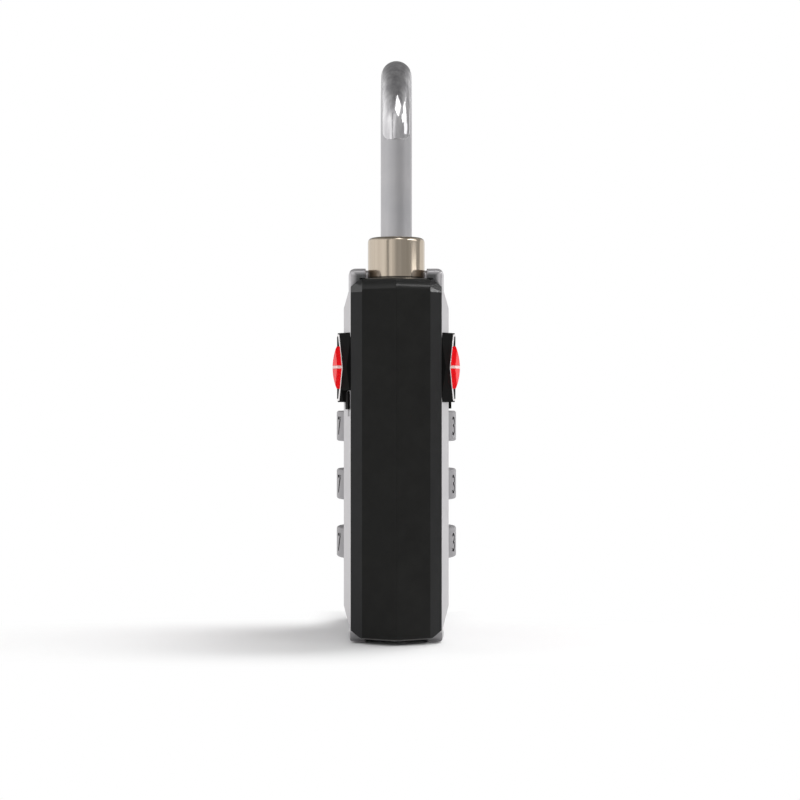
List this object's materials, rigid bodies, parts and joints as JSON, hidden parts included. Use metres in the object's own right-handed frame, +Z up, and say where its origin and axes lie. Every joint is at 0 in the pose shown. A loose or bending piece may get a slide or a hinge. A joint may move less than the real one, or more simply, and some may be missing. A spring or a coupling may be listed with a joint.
{
  "type": "luggage combination padlock",
  "caption": "Small luggage padlock: black frame between silver covers, digit wheels, red badges, nickel collars and a round lifting shackle, with a key override below.",
  "frame": {"origin": "middle of the foot, on the surface that the covers stand on", "axes": "+X across the width towards the toe leg of the shackle, -Y out of the front cover, +Z up along the shackle"},
  "size_m": [0.03, 0.0142, 0.0663],
  "materials": {
    "black_frame": "satin black coat",
    "silver_cover": "matt silver on die-cast zinc",
    "black_badge": "glossy black",
    "badge_trim": "bright plated edge",
    "red_lens": "glossy clear red",
    "nickel": "warm satin nickel",
    "shackle_steel": "satin, polished in the bend",
    "steel": "turned",
    "spring_steel": "drawn wire",
    "dial_metal": "satin grey with dark digits",
    "brass_inner": "turned brass"
  },
  "bodies": {
    "casing": {"frame": "black_frame", "front_cover": "silver_cover", "back_cover": "silver_cover", "cover_pins": "steel", "badge_plate_front": "black_badge", "badge_plate_back": "black_badge", "badge_trim_front": "badge_trim", "badge_trim_back": "badge_trim", "badge_lens_front": "red_lens", "badge_lens_back": "red_lens", "index_mark": "black_badge", "toe_collar": "nickel", "heel_collar": "nickel", "heel_pin": "steel", "shackle_spring": "spring_steel", "latch_spring": "spring_steel", "spindle_spring": "spring_steel", "detent_balls": "steel", "detent_springs": "spring_steel", "key_sleeve": "nickel", "thrust_collar": "brass_inner"},
    "shackle": {"shackle": "shackle_steel"},
    "latch": {"latch": "steel"},
    "spindle": {"spindle": "steel"},
    "wheel_top": {"dial_top": "dial_metal", "hub_top": "brass_inner"},
    "wheel_middle": {"dial_middle": "dial_metal", "hub_middle": "brass_inner"},
    "wheel_bottom": {"dial_bottom": "dial_metal", "hub_bottom": "brass_inner"},
    "key_plug": {"key_plug": "brass_inner", "wafers": "brass_inner"},
    "reset_slider": {"reset_slider": "black_badge"}
  },
  "joints": [
    {"name": "shackle_lift", "type": "slide", "parent": "casing", "child": "shackle", "axis": [0, 0, 1], "range_m": [0, 0.0112], "deforming": ["shackle_spring"]},
    {"name": "latch_slide", "type": "slide", "parent": "casing", "child": "latch", "axis": [-1, 0, 0], "range_m": [0, 0.00314], "deforming": ["latch_spring"]},
    {"name": "spindle_slide", "type": "slide", "parent": "casing", "child": "spindle", "axis": [0, 0, -1], "range_m": [0, 0.00168], "deforming": ["spindle_spring"]},
    {"name": "wheel_top_turn", "type": "hinge", "parent": "casing", "child": "wheel_top", "pos_m": [0, 0, 0.02384], "axis": [0, 0, 1], "continuous": true},
    {"name": "wheel_middle_turn", "type": "hinge", "parent": "casing", "child": "wheel_middle", "pos_m": [0, 0, 0.01711], "axis": [0, 0, 1], "continuous": true},
    {"name": "wheel_bottom_turn", "type": "hinge", "parent": "casing", "child": "wheel_bottom", "pos_m": [0, 0, 0.01038], "axis": [0, 0, 1], "continuous": true},
    {"name": "key_turn", "type": "hinge", "parent": "casing", "child": "key_plug", "pos_m": [0, 0, 0.0026], "axis": [0, 0, 1], "range_deg": [0, 90]},
    {"name": "reset_slide", "type": "slide", "parent": "casing", "child": "reset_slider", "axis": [0, 0, -1], "range_m": [0, 0.0015]}
  ],
  "couplings": [
    {"joint": "latch_slide", "follows": "shackle_lift", "ratio": 0.28},
    {"joint": "spindle_slide", "follows": "shackle_lift", "ratio": 0.15}
  ]
}
